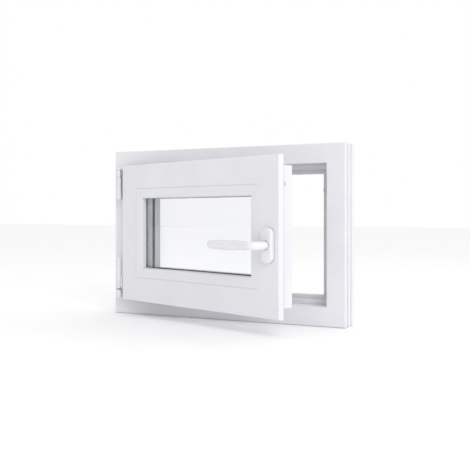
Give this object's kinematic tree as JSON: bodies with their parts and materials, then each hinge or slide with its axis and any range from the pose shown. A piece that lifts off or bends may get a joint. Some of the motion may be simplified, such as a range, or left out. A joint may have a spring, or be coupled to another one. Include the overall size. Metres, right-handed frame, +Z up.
{
  "type": "casement window",
  "caption": "Small white double-glazed tilt-and-turn window in a rebated plastic frame, hinged on the left, with a lever handle.",
  "frame": {"origin": "middle of the sill's bottom face, halfway through the frame's depth", "axes": "+X to the right seen from the room, -Y into the room, +Y outdoors, +Z up"},
  "size_m": [0.6, 0.2975, 0.4],
  "materials": {
    "white_pvc": "extruded rigid PVC, satin gloss",
    "white_nylon": "moulded, satin",
    "white_lacquer": "white powder coat, gloss",
    "grey_rubber": "extruded TPE, matt",
    "galvanised_steel": "hot-dip galvanised",
    "zinc_plated_steel": "zinc plated, satin",
    "spacer_aluminium": "mill finish, perforated",
    "sealant": "cured butyl and polysulphide",
    "glass": "clear float",
    "block_plastic": "moulded, matt"
  },
  "bodies": {
    "frame": {"frame_jamb_left": "white_pvc", "frame_head": "white_pvc", "frame_jamb_right": "white_pvc", "frame_sill": "white_pvc", "frame_steel_left": "galvanised_steel", "frame_steel_top": "galvanised_steel", "frame_steel_right": "galvanised_steel", "frame_steel_bottom": "galvanised_steel", "frame_seal": "grey_rubber", "striker_side": "zinc_plated_steel", "striker_top": "zinc_plated_steel", "striker_tilt": "zinc_plated_steel", "corner_bearing": "white_lacquer", "stay_bearing": "white_lacquer", "stay_pin": "zinc_plated_steel", "stay_bearing_cover": "white_nylon", "stay_pin_cap": "white_nylon"},
    "pivot": {"pivot_pin": "zinc_plated_steel"},
    "stay_arm": {"stay_arm": "zinc_plated_steel", "stay_arm_cover": "white_nylon"},
    "sash": {"sash_stile_hinge": "white_pvc", "sash_rail_top": "white_pvc", "sash_stile_lock": "white_pvc", "sash_rail_bottom": "white_pvc", "sash_steel_left": "galvanised_steel", "sash_steel_top": "galvanised_steel", "sash_steel_right": "galvanised_steel", "sash_steel_bottom": "galvanised_steel", "glazing_bead_left": "white_pvc", "glazing_bead_top": "white_pvc", "glazing_bead_right": "white_pvc", "glazing_bead_bottom": "white_pvc", "glass_pane_inner": "glass", "glass_pane_outer": "glass", "glass_spacer": "spacer_aluminium", "glass_edge_seal": "sealant", "glazing_seal_inner": "grey_rubber", "glazing_seal_outer": "grey_rubber", "setting_block_left": "block_plastic", "setting_block_right": "block_plastic", "corner_band": "white_lacquer", "corner_band_cover": "white_nylon", "sash_seal": "grey_rubber", "sash_seal_hinge_side": "grey_rubber", "face_plate_side": "zinc_plated_steel", "face_plate_top": "zinc_plated_steel", "face_plate_bottom": "zinc_plated_steel", "gearbox_housing": "galvanised_steel", "rose_base": "white_nylon", "rose_cover": "white_lacquer", "handle_screw_lower": "zinc_plated_steel", "handle_screw_upper": "zinc_plated_steel"},
    "handle": {"handle_lever": "white_lacquer", "handle_spindle": "galvanised_steel", "drive_pinion": "zinc_plated_steel"},
    "drive_rod_side": {"drive_rod_side": "zinc_plated_steel"},
    "drive_rod_top": {"drive_rod_top": "zinc_plated_steel"},
    "drive_rod_bottom": {"drive_rod_bottom": "zinc_plated_steel"}
  },
  "joints": [
    {"name": "sash_turn", "type": "hinge", "parent": "frame", "child": "pivot", "pos_m": [-0.276, -0.049, 0.05], "axis": [0, 0, -1], "range_deg": [-19.6, 70.4]},
    {"name": "sash_tilt", "type": "hinge", "parent": "pivot", "child": "sash", "pos_m": [-0.276, -0.049, 0.05], "axis": [0.9421, -0.3355, 0], "range_deg": [0, 7]},
    {"name": "stay_swing", "type": "hinge", "parent": "pivot", "child": "stay_arm", "pos_m": [-0.276, -0.049, 0.345], "axis": [0, 0, -1], "range_deg": [0, 10.4]},
    {"name": "handle_turn", "type": "hinge", "parent": "sash", "child": "handle", "pos_m": [0.20612, -0.22015, 0.1835], "axis": [0.3355, 0.9421, 0], "range_deg": [-90, 90]},
    {"name": "side_rod_slide", "type": "slide", "parent": "sash", "child": "drive_rod_side", "axis": [0, 0, 1], "range_m": [-0.0079, 0.0079]},
    {"name": "top_rod_slide", "type": "slide", "parent": "sash", "child": "drive_rod_top", "axis": [-0.9421, 0.3355, 0], "range_m": [-0.0079, 0.0079]},
    {"name": "bottom_rod_slide", "type": "slide", "parent": "sash", "child": "drive_rod_bottom", "axis": [0.9421, -0.3355, 0], "range_m": [-0.0079, 0.0079]}
  ],
  "couplings": [
    {"joint": "stay_swing", "follows": "sash_tilt", "ratio": 1.479},
    {"joint": "side_rod_slide", "follows": "handle_turn", "m_per_rad": 0.005},
    {"joint": "top_rod_slide", "follows": "handle_turn", "m_per_rad": 0.005},
    {"joint": "bottom_rod_slide", "follows": "handle_turn", "m_per_rad": 0.005}
  ]
}
